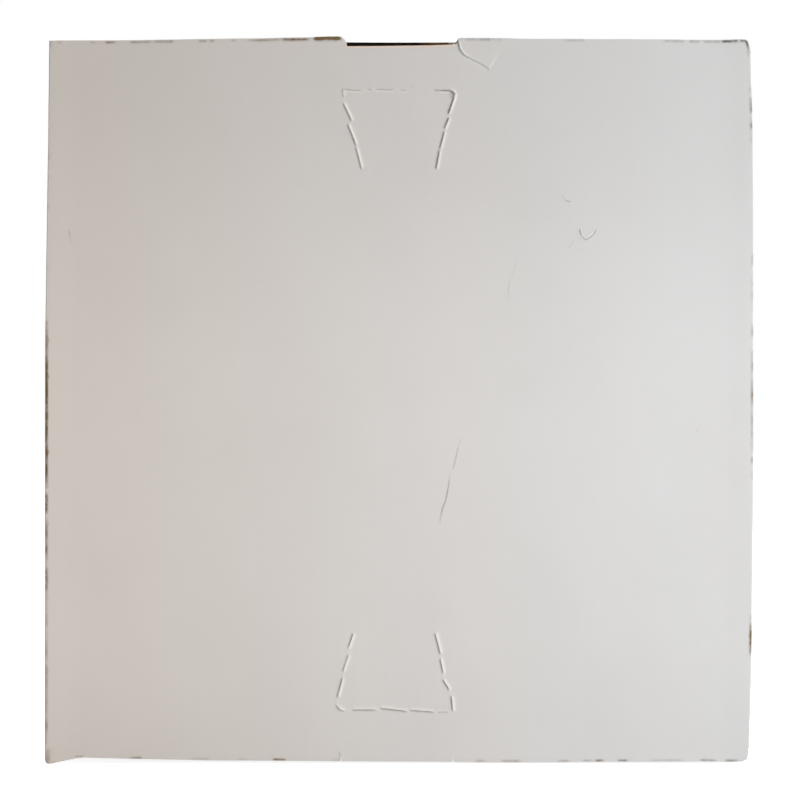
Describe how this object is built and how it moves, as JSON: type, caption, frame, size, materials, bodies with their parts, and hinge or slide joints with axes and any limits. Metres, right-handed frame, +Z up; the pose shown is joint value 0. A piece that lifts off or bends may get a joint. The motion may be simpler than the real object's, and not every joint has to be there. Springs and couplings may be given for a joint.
{
  "type": "game controller box",
  "caption": "Plain white corrugated tuck-end carton for a game controller, with two hinged lids, a thumb notch and perforated knock-outs.",
  "frame": {"origin": "on the floor, under the middle of the closed carton", "axes": "+Z up, +X to the right of somebody who faces the face panel with the thumb notch, +Y from that panel to the back panel"},
  "size_m": [0.154, 0.072, 0.158],
  "materials": {
    "board": "matte"
  },
  "bodies": {
    "carton": {"carton": "board"},
    "top_lid": {"top_lid": "board"},
    "bottom_lid": {"bottom_lid": "board"}
  },
  "joints": [
    {"name": "top_lid_hinge", "type": "hinge", "parent": "carton", "child": "top_lid", "pos_m": [0, 0.0352, 0.1562], "axis": [-1, 0, 0], "range_deg": [0, 180]},
    {"name": "bottom_lid_hinge", "type": "hinge", "parent": "carton", "child": "bottom_lid", "pos_m": [0, 0.0352, 0.0008], "axis": [1, 0, 0], "range_deg": [0, 180]}
  ]
}
